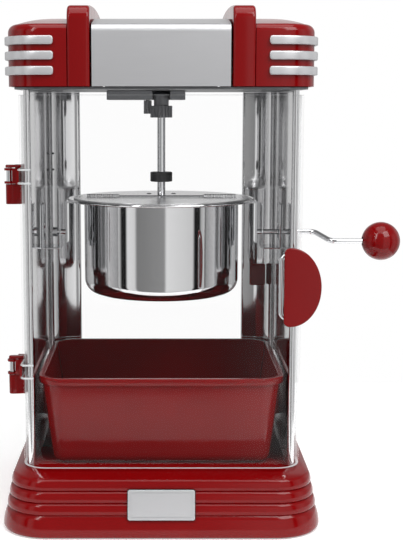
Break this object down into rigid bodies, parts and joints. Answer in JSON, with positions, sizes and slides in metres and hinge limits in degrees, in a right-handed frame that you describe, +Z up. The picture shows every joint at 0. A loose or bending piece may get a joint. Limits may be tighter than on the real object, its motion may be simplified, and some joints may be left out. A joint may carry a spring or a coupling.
{
  "type": "popcorn maker",
  "caption": "Tabletop popcorn maker: ribbed base, chrome cabinet with a clear swinging door, tilting kettle with a stirrer and crank, and a popcorn tray.",
  "frame": {"origin": "on the table plane, under the middle of the base and cabinet; the feet reach z = 0 and the base's flat cover is 2.5 mm above it", "axes": "+Z up, -Y towards the front (the door), +X towards the maker's right as seen from the front (the crank's side)"},
  "size_m": [0.3636, 0.2662, 0.4603],
  "materials": {
    "red_plastic": "deep red moulded plastic, high gloss",
    "dark_plastic": "near-black moulded plastic, satin",
    "grey_plastic": "dark grey moulded plastic, fine texture",
    "silver_paint": "silver paint, satin",
    "grey_metal": "plain grey steel, satin",
    "chrome_steel": "bright plated steel",
    "mirror_steel": "mirror-polished stainless steel",
    "clear_acrylic": "clear acrylic sheet",
    "rubber": "black rubber"
  },
  "bodies": {
    "cabinet": {"base_shell": "red_plastic", "bottom_cover": "dark_plastic", "canopy_arch_left": "red_plastic", "canopy_arch_right": "red_plastic", "canopy_end_left": "red_plastic", "canopy_end_right": "red_plastic", "canopy_housing": "silver_paint", "canopy_pan": "grey_metal", "cord_gland": "dark_plastic", "crank_bush": "chrome_steel", "drive_box": "grey_plastic", "foot_front_left": "rubber", "foot_front_right": "rubber", "foot_rear_left": "rubber", "foot_rear_right": "rubber", "gearbox": "grey_metal", "hanger_left": "chrome_steel", "hanger_right": "chrome_steel", "hinge_pin_lower": "chrome_steel", "hinge_pin_upper": "chrome_steel", "hinge_wall_leaf_lower": "red_plastic", "hinge_wall_leaf_upper": "red_plastic", "left_side_wall": "chrome_steel", "name_plate": "silver_paint", "rear_window": "clear_acrylic", "right_side_wall": "chrome_steel", "stir_motor": "grey_metal", "switch_bezel": "dark_plastic", "trim_bar_left_1": "silver_paint", "trim_bar_left_2": "silver_paint", "trim_bar_left_3": "silver_paint", "trim_bar_right_1": "silver_paint", "trim_bar_right_2": "silver_paint", "trim_bar_right_3": "silver_paint", "window_clip": "red_plastic"},
    "door": {"door_panel": "clear_acrylic", "door_handle": "red_plastic", "handle_bracket": "chrome_steel", "hinge_door_leaf_lower": "red_plastic", "hinge_door_leaf_upper": "red_plastic"},
    "tray": {"popcorn_tray": "red_plastic"},
    "kettle": {"kettle_shell": "mirror_steel", "kettle_bowl": "mirror_steel", "heating_ring": "grey_metal", "thermostat": "dark_plastic", "kettle_lug_left": "mirror_steel", "kettle_lug_right": "mirror_steel", "trunnion_pin": "chrome_steel", "crank_rod": "chrome_steel", "crank_knob": "red_plastic", "lid_rear": "mirror_steel", "lid_hinge_pin": "mirror_steel"},
    "lid": {"lid_flap": "mirror_steel"},
    "stirrer": {"stir_shaft": "chrome_steel", "stir_gear": "dark_plastic", "shaft_collar": "dark_plastic", "stir_blade": "chrome_steel"},
    "pinion": {"drive_pinion": "dark_plastic"},
    "rocker": {"switch_rocker": "red_plastic"}
  },
  "joints": [
    {"name": "door_swing", "type": "hinge", "parent": "cabinet", "child": "door", "pos_m": [-0.1352, -0.062, 0.2], "axis": [0, 0, -1], "range_deg": [0, 110]},
    {"name": "tray_lift", "type": "slide", "parent": "cabinet", "child": "tray", "axis": [0, 0, 1], "range_m": [0, 0.02]},
    {"name": "kettle_tilt", "type": "hinge", "parent": "cabinet", "child": "kettle", "pos_m": [0, 0.0075, 0.2534], "axis": [1, 0, 0], "range_deg": [0, 50]},
    {"name": "lid_open", "type": "hinge", "parent": "kettle", "child": "lid", "pos_m": [0, 0, 0.28784], "axis": [-1, 0, 0], "range_deg": [0, 70]},
    {"name": "stir_spin", "type": "hinge", "parent": "kettle", "child": "stirrer", "pos_m": [0, 0.0075, 0.2534], "axis": [0, 0, 1], "continuous": true},
    {"name": "pinion_spin", "type": "hinge", "parent": "cabinet", "child": "pinion", "pos_m": [-0.01278, 0.0075, 0.3613], "axis": [0, 0, 1], "continuous": true},
    {"name": "rocker_press", "type": "hinge", "parent": "cabinet", "child": "rocker", "pos_m": [-0.03, 0.1198, 0.4143], "axis": [-1, 0, 0], "range_deg": [0, 16]}
  ],
  "couplings": [
    {"joint": "pinion_spin", "follows": "stir_spin", "ratio": -3}
  ]
}
